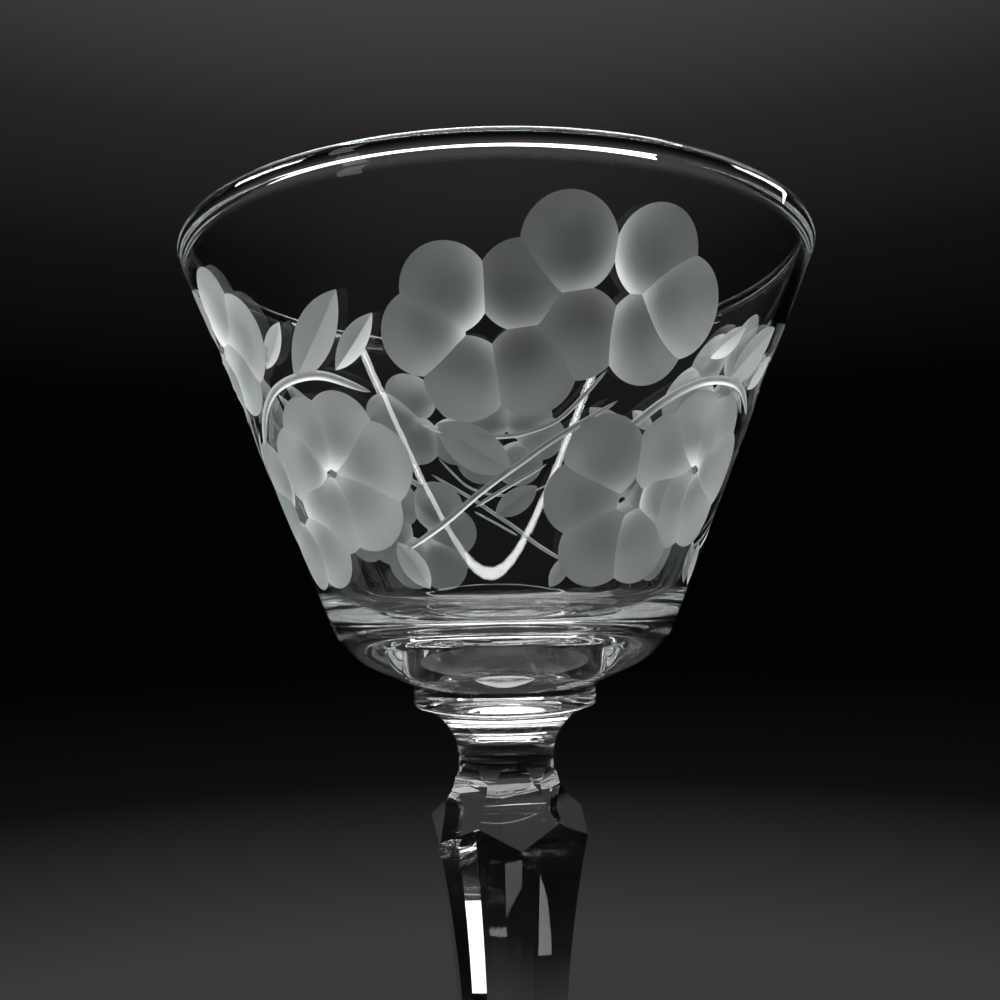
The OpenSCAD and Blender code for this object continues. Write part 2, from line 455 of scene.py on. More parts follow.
class Leaf:
    """A pointed oval with a vein: two round cuts that meet along its middle."""

    def __init__(self, base, tip, width, depth):
        self.base, self.tip = base, tip
        along = tip - base
        size = np.linalg.norm(along)
        half_w = width / 2
        self.radius = (size ** 2 / 4 + half_w ** 2) / (2 * half_w)
        side = np.array([-along[1], along[0]]) / size * (self.radius - half_w)
        self.centres = [(base + tip) / 2 + side, (base + tip) / 2 - side]
        self.wheel_r = size ** 2 / (8 * depth)

    def cut(self, points):
        sides = []
        for centre in self.centres:
            away = points - centre
            depth = (self.radius ** 2 - (away ** 2).sum(1)) / (2 * self.wheel_r)
            sides.append((depth, -away / self.wheel_r))
        (left_depth, left_slope), (right_depth, right_slope) = sides
        left = left_depth < right_depth
        slope = np.where(left[:, None], left_slope, right_slope)
        return np.where(left, left_depth, right_depth), slope

    def outlines(self, step):
        lines = []
        for centre in self.centres:
            ends = [math.atan2(*(p - centre)[::-1]) for p in (self.base, self.tip)]
            turn = (ends[1] - ends[0] + math.pi) % (2 * math.pi) - math.pi
            count = math.ceil(abs(turn) * self.radius / step)
            around = ends[0] + np.linspace(0, turn, count + 1)
            lines.append(centre + self.radius * np.stack([np.cos(around), np.sin(around)], 1))
        return lines

    def creases(self, others, step):
        count = math.ceil(np.linalg.norm(self.tip - self.base) / step)
        return [np.linspace(self.base, self.tip, count + 1)]


class Stalk:
    """A thin round groove along a smooth line, which tapers to nothing at both ends."""
    taper_share = 0.2

    def __init__(self, route, width, depth, step):
        self.line = smooth_line(route, step)
        shares = np.linspace(0, 1, len(self.line))
        ease = np.clip(np.minimum(shares, 1 - shares) / self.taper_share, 0, 1)
        self.half_w = width / 2 * np.sqrt(ease * (2 - ease))
        self.wheel_r = (width / 2) ** 2 / (2 * depth)

    def cut(self, points):
        depth = np.full(len(points), -1.0)
        slope = np.zeros((len(points), 2))
        reach = self.half_w.max()
        low, high = self.line.min(0) - reach, self.line.max(0) + reach
        near = np.flatnonzero(((points > low) & (points < high)).all(1))
        depth[near], slope[near] = self.cut_near(points[near])
        return depth, slope

    def cut_near(self, points):
        depth = np.full(len(points), -1.0)
        slope = np.zeros((len(points), 2))
        for i in range(len(self.line) - 1):
            start, along = self.line[i], self.line[i + 1] - self.line[i]
            t = np.clip((points - start) @ along / (along @ along), 0, 1)
            away = points - start - t[:, None] * along
            half_w = self.half_w[i] + t * (self.half_w[i + 1] - self.half_w[i])
            d = (half_w ** 2 - (away ** 2).sum(1)) / (2 * self.wheel_r)
            deeper = d > depth
            depth[deeper] = d[deeper]
            slope[deeper] = -away[deeper] / self.wheel_r
        return depth, slope

    def outlines(self, step):
        along = unit(np.gradient(self.line, axis=0))
        side = np.stack([-along[:, 1], along[:, 0]], 1) * self.half_w[:, None]
        return [self.line + side, self.line - side]

    def creases(self, others, step):
        return [self.line]


def smooth_line(route, step):
    """A smooth curve through the route's points, sampled at about this step."""
    route = np.array(route, float)
    padded = np.vstack([2 * route[0] - route[1], route, 2 * route[-1] - route[-2]])
    points = []
    for i in range(len(route) - 1):
        p0, p1, p2, p3 = padded[i:i + 4]
        count = max(2, math.ceil(np.linalg.norm(p2 - p1) / step))
        for t in np.arange(count) / count:
            points.append(0.5 * (2 * p1 + (p2 - p0) * t + (2 * p0 - 5 * p1 + 4 * p2 - p3) * t ** 2
                                 + (3 * p1 - p0 - 3 * p2 + p3) * t ** 3))
    points.append(route[-1])
    return np.array(points)


# The sprays round the bowl, cut by hand: [degrees from the first, mm lower than the first]
SPRAYS = ((0, 0), (90, 0.4), (180, 1.1), (274, 0))
# What each spray holds. Places on the wall are [degrees to the right, mm below the rim].
# A petal is [degrees clockwise from up, mm from the flower's eye, radius in mm].
FLOWERS = (
    ((17.6, 14.2), (
        (-51, 5.8, 4.75), (53, 5.8, 4.7), (100, 8.3, 5.2),
        (134, 6.5, 4.8), (210, 5.3, 4.5),
    )),
    ((-0.1, 18.3), (
        (-54, 6.3, 4.4), (29, 4.5, 4.3), (143, 5.0, 4.5),
        (214, 5.8, 4.2), (267, 7.4, 4.2),
    )),
    ((28, 35.9), (
        (-34, 6.0, 4.5), (84, 6.2, 4.3), (146, 5.4, 4.4),
        (206, 5.2, 4.4), (277, 5.1, 4.2),
    )),
    ((47, 31.3), (
        (-80, 5.2, 4.6), (-24, 4.5, 4.3), (36, 4.8, 4.5),
        (90, 5.6, 4.8), (145, 5.5, 4.7), (200, 5.2, 4.6),
    )),
)
# A leaf is its base, its tip and its width in mm
LEAVES = (
    ((-41, 21.2), (-26.4, 13.3), 4.7),
    ((-48.6, 19.2), (-40.3, 15.1), 2.5),
    ((-30.4, 21), (-20.8, 16), 2.7),
    ((-25.5, 39.5), (-19, 44.8), 2.9),
    ((-12, 27.3), (1.8, 32.4), 4.4),
)
# A stalk is its width in mm and its route on the wall
STALKS = (
    (1.0, ((-75, 30.5), (-66, 27.8), (-58.8, 24.7), (-53, 22.7),
           (-47.3, 21.5), (-40.3, 21), (-33, 21.4), (-24, 23.6))),
    (0.65, ((22, 25), (10.7, 28.9), (3.4, 31.6), (-4.4, 34.4), (-13.6, 37.8), (-25, 40.8))),
    (0.45, ((19, 22), (14.7, 24.9), (10.7, 27.1), (5.7, 28.3),
            (0.7, 28.8), (-8.5, 28.6), (-15.7, 27.1))),
    (0.4, ((9, 31.6), (1.9, 33.7), (-6, 36))),
)


class CutWall:
    """The bowl's outside wall with its sprays, as a sheet of triangles."""
    # Share of a grid step that stays free round the edges of the cuts
    room_share = 0.45
    # Share of the way into a face at which its corners' normals are read
    inside_share = 0.02

    def __init__(self, outline, sizes, cutting):
        self.outline, self.cutting = outline, cutting
        self.sin, self.cos = math.sin(sizes.wall_lean), math.cos(sizes.wall_lean)
        self.top = outline.wall_outside[0] / self.sin
        self.bottom = outline.wall_foot[0] / self.sin
        self.rim = self.top + (sizes.rim_z - outline.wall_outside[1]) / self.cos
        self.sprays = [(cutting.spray_turn + math.radians(turn), drop * MM) for turn, drop in SPRAYS]
        self.cuts = self.make_cuts()

    def flat(self, place):
        """A place [degrees, mm below the rim] on the unrolled wall."""
        turn = math.radians(place[0]) * self.sin
        reach = self.rim - place[1] * MM
        return reach * np.array([math.sin(turn), math.cos(turn)])

    def make_cuts(self):
        sizes = self.cutting
        wheel_r = sizes.petal_r ** 2 / (2 * sizes.petal_depth)
        cuts = []
        for place, petals in FLOWERS:
            middle = self.flat(place)
            up = unit(middle)
            right = np.array([up[1], -up[0]])
            for clock, reach, radius in petals:
                turn = math.radians(clock)
                outward = right * math.sin(turn) + up * math.cos(turn)
                cuts.append(Petal(middle + reach * MM * outward, radius * MM, wheel_r, -outward))
        for base, tip, width in LEAVES:
            cuts.append(Leaf(self.flat(base), self.flat(tip), width * MM, sizes.leaf_depth))
        for width, route in STALKS:
            line = [self.flat(p) for p in route]
            cuts.append(Stalk(line, width * MM, sizes.stalk_depth, 2 * sizes.outline_step))
        return cuts

    def depth_of_spray(self, points):
        """Depth and slope of the deepest cut of one spray, and none where the wall is uncut."""
        depth, slope = np.zeros(len(points)), np.zeros((len(points), 2))
        for cut in self.cuts:
            d, s = cut.cut(points)
            deeper = d > depth
            depth[deeper] = d[deeper]
            slope[deeper] = s[deeper]
        return depth, slope

    def depth(self, around, reach):
        """Depth of the cuts and their slopes to the right and upwards, at places on the cone."""
        depth = np.zeros(len(around))
        right, up = np.zeros(len(around)), np.zeros(len(around))
        for turn, drop in self.sprays:
            fan = ((around - turn + math.pi) % (2 * math.pi) - math.pi) * self.sin
            points = (reach + drop)[:, None] * np.stack([np.sin(fan), np.cos(fan)], 1)
            d, s = self.depth_of_spray(points)
            deeper = d > depth
            depth[deeper] = d[deeper]
            right[deeper] = (s[:, 0] * np.cos(fan) - s[:, 1] * np.sin(fan))[deeper]
            up[deeper] = (s[:, 0] * np.sin(fan) + s[:, 1] * np.cos(fan))[deeper]
        return depth, right, up

    def rolled(self, points, turn, drop):
        """Direction and distance from the apex of flat points of one spray."""
        reach = np.linalg.norm(points, axis=1) - drop
        around = np.arctan2(points[:, 0], points[:, 1]) / self.sin + turn
        return around, reach

    def sheet(self, sheets):
        """Adds the wall's triangles."""
        ring = np.linspace(0, 2 * math.pi, ROUND_SIDES, endpoint=False)
        around = [np.concatenate([ring, ring])]
        reach = [np.concatenate([np.full(ROUND_SIDES, self.bottom), np.full(ROUND_SIDES, self.top)])]
        edges = []
        for base in (0, ROUND_SIDES):
            edges.extend((base + i, base + (i + 1) % ROUND_SIDES) for i in range(ROUND_SIDES))
        count = 2 * ROUND_SIDES
        for line_around, line_reach, shown in self.cut_lines():
            numbers = count + np.arange(len(line_around))
            edges.extend((numbers[i], numbers[i + 1]) for i in range(len(numbers) - 1) if shown[i])
            around.append(line_around)
            reach.append(line_reach)
            count += len(numbers)
        grid_around, grid_reach = self.grid(np.concatenate(around), np.concatenate(reach))
        around = np.concatenate(around + [grid_around])
        reach = np.concatenate(reach + [grid_reach])
        plane = self.annulus(around, reach)
        made = delaunay_2d_cdt([Vector(p) for p in plane], edges, [], 0, TINY)
        around, reach = self.from_annulus(np.array([tuple(p) for p in made[0]]))
        self.add_triangles(sheets, around, reach, np.array(made[2]))

    def cut_lines(self):
        """Edges and creases of all cuts as [directions, distances, whether each stretch shows]."""
        step = self.cutting.outline_step
        petals = [cut for cut in self.cuts if isinstance(cut, Petal)]
        lines = []
        for cut in self.cuts:
            later = petals[petals.index(cut) + 1:] if isinstance(cut, Petal) else []
            for line in cut.outlines(step) + cut.creases(later, step):
                own, _ = cut.cut(line)
                lines.append((line, np.maximum(own, 0)))
        made = []
        for turn, drop in self.sprays:
            for line, own in lines:
                around, reach = self.rolled(line, turn, drop)
                deepest, _, _ = self.depth(around, reach)
                on_top = deepest < own + LEAST_DEPTH
                shown = on_top[:-1] | on_top[1:]
                used = np.zeros(len(line), bool)
                used[:-1] |= shown
                used[1:] |= shown
                for first, last in stretches(used):
                    made.append((around[first:last], reach[first:last], shown[first:last - 1]))
        return made

    def grid(self, taken_around, taken_reach):
        """Points inside the cuts, and sparser ones on the uncut wall, clear of those that are taken."""
        step = self.cutting.grid_step
        tree = kdtree.KDTree(len(taken_around))
        for i, p in enumerate(self.places(taken_around, taken_reach, np.zeros(len(taken_around)))):
            tree.insert(p, i)
        tree.balance()
        row_step = step * math.sin(math.pi / 3)
        rows = math.floor((self.top - self.bottom) / row_step)
        kept = []
        for row in range(1, rows):
            reach = self.bottom + (self.top - self.bottom) * row / rows
            count = 2 * round(math.pi * reach * self.sin / step)
            around = (np.arange(count) + row % 2 / 2) / count * 2 * math.pi
            reaches = np.full(count, reach)
            depth, _, _ = self.depth(around, reaches)
            sparse = (np.arange(count) % 2 == 0) & (row % 2 == 0)
            places = self.places(around, reaches, np.zeros(count))
            for i in np.flatnonzero((depth > 0) | sparse):
                if tree.find(places[i])[2] > self.room_share * step:
                    kept.append((around[i], reach))
        kept = np.array(kept)
        return kept[:, 0], kept[:, 1]

    def annulus(self, around, reach):
        """The whole wall as a flat ring, with angles kept."""
        radius = (reach / self.top) ** (1 / self.sin)
        return np.stack([radius * np.cos(around), radius * np.sin(around)], 1)

    def from_annulus(self, plane):
        reach = np.linalg.norm(plane, axis=1) ** self.sin * self.top
        return np.arctan2(plane[:, 1], plane[:, 0]), reach

    def axes(self, around):
        """Directions on the wall to the right, upwards and out of it."""
        out = np.stack([np.sin(around), -np.cos(around)], 1)
        flat = np.zeros((len(around), 1))
        right = np.hstack([-out[:, 1:], out[:, :1], flat])
        up = np.hstack([out * self.sin, flat + self.cos])
        outward = np.hstack([out * self.cos, flat - self.sin])
        return right, up, outward

    def places(self, around, reach, depth):
        """Points of the rolled wall, sunk by the depth."""
        _, up, outward = self.axes(around)
        points = up * (reach - self.top)[:, None] - outward * depth[:, None]
        edge = self.outline.wall_outside
        points[:, 0] += edge[0] * np.sin(around)
        points[:, 1] -= edge[0] * np.cos(around)
        points[:, 2] += edge[1]
        return points

    def add_triangles(self, sheets, around, reach, faces):
        reach = np.clip(reach, self.bottom, self.top)
        on_foot = reach < self.bottom + WALL_FOOT_GAP
        faces = faces[~on_foot[faces].all(1)]
        depth, _, _ = self.depth(around, reach)
        depth[depth < LEAST_DEPTH / 2] = 0
        points = self.places(around, reach, depth)
        faces = faces[:, ::-1]
        middles = np.stack([np.sin(around), -np.cos(around)], 1)[faces].mean(1)
        middle_around = np.arctan2(middles[:, 0], -middles[:, 1])
        middle_reach = reach[faces].mean(1)
        sunk, _, _ = self.depth(middle_around, middle_reach)
        is_cut = sunk > LEAST_DEPTH
        normals = self.corner_normals(around, reach, faces, middle_around, middle_reach, is_cut)
        materials = np.where(is_cut, CUT, CLEAR).tolist()
        sheets.add(list(points), faces.tolist(), normals.tolist(), materials)

    def corner_normals(self, around, reach, faces, middle_around, middle_reach, is_cut):
        """Normals of the plain wall, or of the cut that the middle of a face lies in."""
        count = len(faces)
        normals = np.zeros((count, 3, 3))
        for k in range(3):
            corner = faces[:, k]
            turn = (middle_around - around[corner] + math.pi) % (2 * math.pi) - math.pi
            near_around = around[corner] + self.inside_share * turn
            near_reach = reach[corner] + self.inside_share * (middle_reach - reach[corner])
            _, right, up = self.depth(near_around, near_reach)
            axes = self.axes(around[corner])
            tilt = axes[0] * right[:, None] + axes[1] * up[:, None]
            normals[:, k] = unit(axes[2] + tilt * is_cut[:, None])
        return normals


def stretches(used):
    """First and last-plus-one numbers of each unbroken stretch of used points."""
    change = np.flatnonzero(np.diff(np.concatenate([[0], used.astype(int), [0]])))
    return list(zip(change[::2], change[1::2]))


def make_bowl(scene):
    """The bowl, with its cut wall."""
    sizes = scene.glass_bowl
    outline = BowlOutline(sizes)
    sheets = Sheets()
    sheets.add_disc(outline.seat_edge[0], outline.seat_edge[1], False, SEAM)
    sheets.add_turned(line_run(outline.seat_edge, outline.lower[0][0], steps=3), CLEAR)
    sheets.add_turned(outline.lower, CLEAR)
    CutWall(outline, sizes, scene.glass_cutting).sheet(sheets)
    sheets.add_turned(outline.bead_run, CLEAR)
    sheets.add_turned(outline.blend_run, CLEAR)
    sheets.add_turned(line_run(outline.blend_run[0][-1], outline.floor[0][0], steps=12), CLEAR)
    sheets.add_turned(outline.floor, CLEAR)
    sheets.add_turned(line_run(outline.floor[0][-1], outline.middle, steps=4), CLEAR)
    materials = [*polished(scene), cut_glass(scene.glass_finish)]
    return sheets.make("cut_bowl", "bowl", materials)


# Collar, stem and foot

class StemOutline:
    """Places on the collar and the stem, worked out from their sizes."""

    def __init__(self, sizes, foot):
        self.sizes = sizes
        self.neck_z = sizes.seam_z - sizes.neck_seam_h
        self.tip_z = self.neck_z - sizes.knop_drop
        self.flare = np.array([sizes.neck_r + sizes.flare_r, self.neck_z])
        self.seam_turn = math.pi - math.asin(sizes.neck_seam_h / sizes.flare_r)
        self.half_facet = math.pi / sizes.facet_count
        lean = sizes.shoulder_lean
        self.wheel_x = sizes.neck_flat_r + sizes.neck_wheel_r
        self.shoulder_x = self.wheel_x - sizes.neck_wheel_r * math.cos(lean)
        self.shoulder_z = self.tip_z + (sizes.knop_r - self.shoulder_x) / math.tan(lean)
        self.wheel_z = self.shoulder_z + sizes.neck_wheel_r * math.sin(lean)
        bulge = sizes.knop_r * math.cos(self.half_facet) - sizes.waist_flat_r
        self.shaft_wheel_r = ((self.tip_z - sizes.waist_z) ** 2 + bulge ** 2) / (2 * bulge)
        self.ankle_r = self.shaft(sizes.facet_end_z)[0]
        self.foot_slope = math.atan((foot.crown_h - foot.edge_t) / (foot.foot_r - self.ankle_r))
        rise = foot.flare_r * (1 - math.sin(self.foot_slope)) / math.cos(self.foot_slope)
        self.ankle = np.array([self.ankle_r + foot.flare_r, foot.crown_h + rise])
        self.foot_turn = math.pi + math.asin((self.ankle[1] - foot.seam_z) / foot.flare_r)
        self.foot_seam_z = foot.seam_z
        self.ankle_flare_r = foot.flare_r

    def shaft(self, z):
        """Distance of a shaft facet from the axis, and its slope."""
        sizes = self.sizes
        up = z - sizes.waist_z
        root = math.sqrt(self.shaft_wheel_r ** 2 - up ** 2)
        return sizes.waist_flat_r + self.shaft_wheel_r - root, up / root

    def neck_cut(self, z):
        """Distance of a neck facet from the axis, and its slope."""
        if z < self.shoulder_z:
            lean = math.tan(self.sizes.shoulder_lean)
            return self.shoulder_x + (self.shoulder_z - z) * lean, -lean
        up = z - self.wheel_z
        root = math.sqrt(max(self.sizes.neck_wheel_r ** 2 - up ** 2, TINY))
        return self.wheel_x - root, up / root

    def neck(self, z):
        """Radius of the uncut neck, and its slope: a cone, then round, then the flare."""
        if z < self.wheel_z:
            blank_r = self.sizes.knop_r + OVERRUN
            steep = (blank_r - self.sizes.neck_r) / (self.wheel_z - self.shoulder_z)
            return self.sizes.neck_r + (self.wheel_z - z) * steep, -steep
        up = max(z - self.neck_z, 0)
        root = math.sqrt(self.sizes.flare_r ** 2 - up ** 2)
        return self.flare[0] - root, up / root

    def ankle_round(self, z):
        """Radius of the round ankle with its flare, and its slope."""
        down = min(z - self.ankle[1], 0)
        root = math.sqrt(self.ankle_flare_r ** 2 - down ** 2)
        return self.ankle[0] - root, down / root


def crossing(first, second, low, high):
    """Height between low and high at which two distances are equal."""
    rising = first(high) > second(high)
    for _ in range(CROSSING_TRIES):
        middle = (low + high) / 2
        if (first(middle) > second(middle)) == rising:
            high = middle
        else:
            low = middle
    return (low + high) / 2


def stem_column(outline, turn):
    """Stretches of one upright line of the stem, from the foot's seam to the collar's.

    Each has its lower and upper height, its steps, a function for distance and slope, and its
    facet's turn, or none where it is round. Turns are measured from a corner of the shaft.
    """
    half = outline.half_facet

    def shaft(z):
        return outline.shaft(z)[0] / math.cos(half - turn)

    def neck_cut(z):
        return outline.neck_cut(z)[0] / math.cos(turn)

    def neck(z):
        return outline.neck(z)[0]

    def ankle(z):
        return outline.ankle_round(z)[0]

    run_out = crossing(shaft, ankle, outline.ankle[1], outline.sizes.waist_z)
    zigzag = crossing(neck_cut, shaft, outline.tip_z - OVERRUN, outline.wheel_z)
    scallop = crossing(neck_cut, neck, outline.shoulder_z, outline.neck_z + OVERRUN)
    cone_end = max(scallop, outline.wheel_z)
    flare_start = max(scallop, outline.neck_z)
    return (
        (outline.foot_seam_z, outline.ankle[1], 8, outline.ankle_round, None),
        (outline.ankle[1], run_out, 3, outline.ankle_round, None),
        (run_out, zigzag, 36, outline.shaft, half),
        (zigzag, scallop, 22, outline.neck_cut, 0.0),
        (scallop, cone_end, 2, outline.neck, None),
        (cone_end, flare_start, 2, outline.neck, None),
        (flare_start, outline.sizes.seam_z, 4, outline.neck, None),
    )


def make_stem(scene):
    """The stem, with its facets meeting in crisp edges."""
    sizes = scene.glass_stem
    outline = StemOutline(sizes, scene.glass_foot)
    sheets = Sheets()
    half = outline.half_facet
    turns = np.linspace(0, half, FACET_COLUMNS)
    columns = [stem_column(outline, t) for t in turns]
    for facet in range(sizes.facet_count):
        corner = 2 * half * facet
        for side in (1, -1):
            for part in range(len(columns[0])):
                add_stem_part(sheets, columns, part, turns, corner, side)
    sides = 2 * sizes.facet_count * (FACET_COLUMNS - 1)
    foot_seam_z = outline.foot_seam_z
    sheets.add_disc(outline.ankle_round(foot_seam_z)[0], foot_seam_z, False, SEAM, sides)
    sheets.add_disc(outline.neck(sizes.seam_z)[0], sizes.seam_z, True, SEAM, sides)
    return sheets.make("faceted_stem", "stem", polished(scene))


def add_stem_part(sheets, columns, part, turns, corner, side):
    """Adds a stretch of half a facet: side is 1 to the right of the corner and -1 to its left."""
    order = range(len(columns)) if side > 0 else range(len(columns) - 1, -1, -1)
    rows_of_column = []
    for k in order:
        low, high, steps, surface, normal_turn = columns[k][part]
        turn = corner + side * turns[k]
        out = np.array([math.sin(turn), -math.cos(turn), 0])
        points, normals = [], []
        for z in np.linspace(low, high, steps + 1):
            distance, steep = surface(z)
            facing = turn if normal_turn is None else corner + side * normal_turn
            across = 1 if normal_turn is None else math.cos(normal_turn - turns[k])
            points.append(out * distance / across + np.array([0, 0, z]))
            normals.append(unit(np.array([math.sin(facing), -math.cos(facing), -steep])))
        rows_of_column.append((points, normals))
    rows = list(zip(*[c[0] for c in rows_of_column]))
    normals = list(zip(*[c[1] for c in rows_of_column]))
    sheets.add_rows(rows, normals, CLEAR)


def make_collar(scene):
    """The round collar between the bowl and the neck."""
    sizes = scene.glass_stem
    outline = StemOutline(sizes, scene.glass_foot)
    seat_z = scene.glass_bowl.seat_z
    low_r = sizes.collar_r - sizes.collar_round_r
    end = math.acos((low_r - outline.flare[0]) / sizes.flare_r)
    flare = arc_run(outline.flare, sizes.flare_r, outline.seam_turn, end)
    low = flare[0][-1]
    edge = np.array([sizes.collar_r, low[1]])
    top = np.array([sizes.collar_r, seat_z])
    rounding = corner_run(low, edge, top, sizes.collar_round_r)
    sheets = Sheets()
    sheets.add_disc(flare[0][0][0], sizes.seam_z, False, SEAM)
    sheets.add_turned(flare, CLEAR)
    sheets.add_turned(rounding, CLEAR)
    sheets.add_turned(line_run(rounding[0][-1], top, steps=3), CLEAR)
    sheets.add_disc(sizes.collar_r, seat_z, True, SEAM)
    return sheets.make("round_collar", "collar", polished(scene))


def make_foot(scene):
    """The domed round foot with its flat rest ring."""
    sizes = scene.glass_foot
    outline = StemOutline(scene.glass_stem, sizes)
    edge_top = np.array([sizes.foot_r, sizes.edge_t])
    edge_bottom = np.array([sizes.foot_r, 0.0])
    crown = np.array([outline.ankle_r, sizes.crown_h])
    ring_in = np.array([sizes.foot_r - sizes.round_r - sizes.ring_w, 0.0])
    hollow_r = (ring_in[0] ** 2 + sizes.hollow ** 2) / (2 * sizes.hollow)
    half = math.asin(ring_in[0] / hollow_r)
    under = corner_run(ring_in, edge_bottom, edge_top, sizes.round_r)
    over = corner_run(edge_bottom, edge_top, crown, sizes.round_r)
    flare_start = 1.5 * math.pi - outline.foot_slope
    flare = arc_run(outline.ankle, sizes.flare_r, flare_start, outline.foot_turn)
    hollow = hollow_run(sizes.hollow - hollow_r, hollow_r, half)
    sheets = Sheets()
    sheets.add_turned(hollow, CLEAR)
    sheets.add_turned(line_run(ring_in, under[0][0], steps=2), CLEAR)
    sheets.add_turned(under, CLEAR)
    sheets.add_turned(line_run(under[0][-1], over[0][0]), CLEAR)
    sheets.add_turned(over, CLEAR)
    sheets.add_turned(line_run(over[0][-1], flare[0][0], steps=6), CLEAR)
    sheets.add_turned(flare, CLEAR)
    sheets.add_disc(flare[0][-1][0], sizes.seam_z, True, SEAM)
    return sheets.make("round_foot", "foot", polished(scene))


def hollow_run(centre_z, radius, half):
    """The shallow dome under the foot, from the axis to the ring."""
    angles = math.pi / 2 - np.linspace(0, half, HOLLOW_STEPS + 1)
    directions = np.stack([np.cos(angles), np.sin(angles)], 1)
    return np.array([0, centre_z]) + radius * directions, -directions


# Finishes

def new_material(name):
    """A material with its nodes and links, or without them if it was made before."""
    material = bpy.data.materials.get(name)
    if material:
        return material, None, None
    material = bpy.data.materials.new(name)
    material.use_nodes = True
    nodes = material.node_tree.nodes
    return material, nodes, material.node_tree.links


def clear_glass(finish):
    """Polished glass, with the faint unevenness of a fire-polished surface."""
    material, nodes, links = new_material("polished_glass")
    if nodes is None:
        return material
    shader = nodes["Principled BSDF"]
    shader.inputs["Base Color"].default_value = (*finish.clear_tint, 1)
    shader.inputs["Transmission Weight"].default_value = 1.0
    shader.inputs["IOR"].default_value = finish.ior
    place = nodes.new("ShaderNodeTexCoord")
    haze = nodes.new("ShaderNodeTexNoise")
    haze.inputs["Scale"].default_value = 90.0
    haze.inputs["Detail"].default_value = 2.0
    spread = nodes.new("ShaderNodeMapRange")
    spread.inputs["From Min"].default_value = 0.45
    spread.inputs["From Max"].default_value = 0.8
    spread.inputs["To Min"].default_value = 0.0
    spread.inputs["To Max"].default_value = 0.03
    links.new(place.outputs["Object"], haze.inputs["Vector"])
    links.new(haze.outputs["Fac"], spread.inputs["Value"])
    links.new(spread.outputs["Result"], shader.inputs["Roughness"])
    return material


def polished(scene):
    """Finishes of a piece without cuts: CLEAR, then SEAM."""
    return [clear_glass(scene.glass_finish), fused_seam(scene.glass_finish)]


def cut_glass(finish):
    """Matt grey of a wheel-cut surface, with the fine grain that the wheel leaves, and a painted
    highlight that makes the steep sides of the cuts whiter and less clear.
    """
    material, nodes, links = new_material("wheel_cut_glass")
    if nodes is None:
        return material
    shader = nodes["Principled BSDF"]
    shader.inputs["IOR"].default_value = finish.ior
    place = nodes.new("ShaderNodeTexCoord")
    cloud = nodes.new("ShaderNodeTexNoise")
    cloud.inputs["Scale"].default_value = 700.0
    cloud.inputs["Detail"].default_value = 4.0
    spread = nodes.new("ShaderNodeMapRange")
    uneven_share = 0.12
    spread.inputs["To Min"].default_value = finish.cut_roughness - uneven_share
    spread.inputs["To Max"].default_value = finish.cut_roughness + uneven_share
    grain = nodes.new("ShaderNodeTexNoise")
    grain.inputs["Scale"].default_value = 5200.0
    grain.inputs["Detail"].default_value = 2.0
    bump = nodes.new("ShaderNodeBump")
    bump.inputs["Strength"].default_value = 0.25
    bump.inputs["Distance"].default_value = 0.06 * MM
    # The mix goes from the cut's own grey to a painted highlight on the steep sides.
    tint_and_highlight = nodes.new("ShaderNodeMix")
    tint_and_highlight.data_type = "RGBA"
    tint_and_highlight.inputs["A"].default_value = (*finish.cut_tint, 1)
    tint_and_highlight.inputs["B"].default_value = (*finish.steep_highlight_tint, 1)
    clearness = nodes.new("ShaderNodeMapRange")
    clearness.inputs["To Min"].default_value = finish.cut_clearness
    clearness.inputs["To Max"].default_value = finish.steep_highlight_clearness
    # The steepness is the mask of the painted highlight: whiter tint and less clearness where the cut is
    # steep.
    steep = steepness(nodes, links, place.outputs["Object"])
    links.new(steep, clearness.inputs["Value"])
    links.new(clearness.outputs["Result"], shader.inputs["Transmission Weight"])
    links.new(steep, tint_and_highlight.inputs["Factor"])
    links.new(tint_and_highlight.outputs["Result"], shader.inputs["Base Color"])
    for texture in (cloud, grain):
        links.new(place.outputs["Object"], texture.inputs["Vector"])
    links.new(cloud.outputs["Fac"], spread.inputs["Value"])
    links.new(spread.outputs["Result"], shader.inputs["Roughness"])
    links.new(grain.outputs["Fac"], bump.inputs["Height"])
    links.new(bump.outputs["Normal"], shader.inputs["Normal"])
    return material


def steepness(nodes, links, place):
    """How far the surface leans from the uncut wall: 0 on a gentle slope, and 1 on a steep one. It is
    the mask of the cuts' painted highlight.
    """
    lean = bpy.context.scene.glass_bowl.wall_lean
    gentle, steep = math.radians(4), math.radians(21)
    flat = nodes.new("ShaderNodeVectorMath")
    flat.operation = "MULTIPLY"
    flat.inputs[1].default_value = (1, 1, 0)
    out = nodes.new("ShaderNodeVectorMath")
    out.operation = "NORMALIZE"
    wall = nodes.new("ShaderNodeVectorMath")
    wall.operation = "MULTIPLY_ADD"
    wall.inputs[1].default_value = (math.cos(lean), math.cos(lean), 0)
    wall.inputs[2].default_value = (0, 0, -math.sin(lean))
    surface = nodes.new("ShaderNodeNewGeometry")
    facing = nodes.new("ShaderNodeVectorMath")
    facing.operation = "DOT_PRODUCT"
    either_side = nodes.new("ShaderNodeMath")
    either_side.operation = "ABSOLUTE"
    scale = nodes.new("ShaderNodeMapRange")
    scale.inputs["From Min"].default_value = math.cos(gentle)
    scale.inputs["From Max"].default_value = math.cos(steep)
    links.new(place, flat.inputs[0])
    links.new(flat.outputs["Vector"], out.inputs[0])
    links.new(out.outputs["Vector"], wall.inputs[0])
    links.new(wall.outputs["Vector"], facing.inputs[0])
    links.new(surface.outputs["Normal"], facing.inputs[1])
    links.new(facing.outputs["Value"], either_side.inputs[0])
    links.new(either_side.outputs["Value"], scale.inputs["Value"])
    return scale.outputs["Result"]


